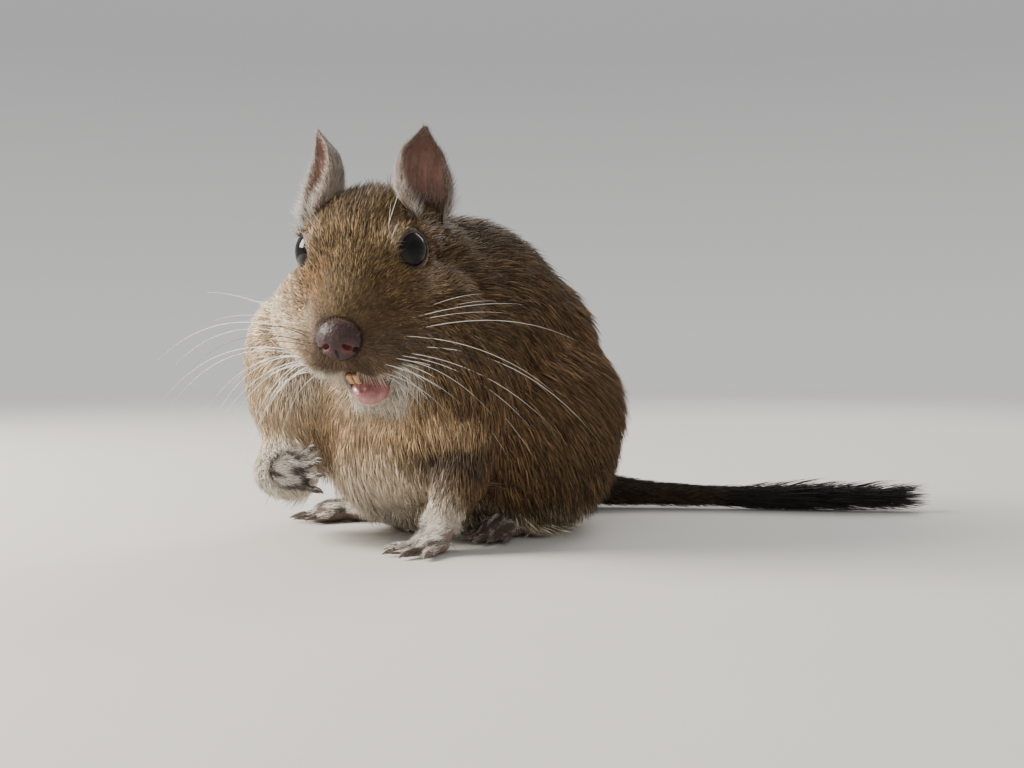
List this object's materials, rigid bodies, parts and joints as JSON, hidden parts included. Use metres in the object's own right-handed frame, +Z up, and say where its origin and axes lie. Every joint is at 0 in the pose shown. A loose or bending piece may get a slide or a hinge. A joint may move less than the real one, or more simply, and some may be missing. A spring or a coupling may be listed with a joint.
{
  "type": "degu",
  "caption": "Life-size seated degu: hunched back, one hand on the ground, the other raised, tufted tail laid out behind.",
  "frame": {"origin": "middle of the animal's bounding box, seen from above, on the floor that it sits on", "axes": "+Y from the chest towards the rump, +Z up, +X towards the animal's left side"},
  "size_m": [0.1316, 0.1876, 0.1085],
  "materials": {
    "coat": "short agouti fur, brown above and buff below",
    "tail_coat": "short dark fur ending in a black brush",
    "ear_skin": "thin bare skin with fine down",
    "foot": "grey skin with short pale hair and dark claws",
    "nose": "moist dark skin",
    "lip": "wet pink skin",
    "eye": "glossy black",
    "tooth": "orange enamel"
  },
  "bodies": {
    "root": {"ear_left": "ear_skin", "ear_right": "ear_skin", "eye_left": "eye", "eye_right": "eye", "forearm_left": "coat", "forearm_right": "coat", "forepaw_left": "foot", "forepaw_right": "foot", "head": "coat", "hind_foot_left": "foot", "hind_foot_right": "foot", "lower_lip": "lip", "neck": "coat", "nose": "nose", "tail_base": "tail_coat", "tail_brush": "tail_coat", "tail_middle": "tail_coat", "thigh_left": "coat", "thigh_right": "coat", "torso": "coat", "upper_arm_left": "coat", "upper_arm_right": "coat", "upper_incisors": "tooth"}
  },
  "joints": []
}
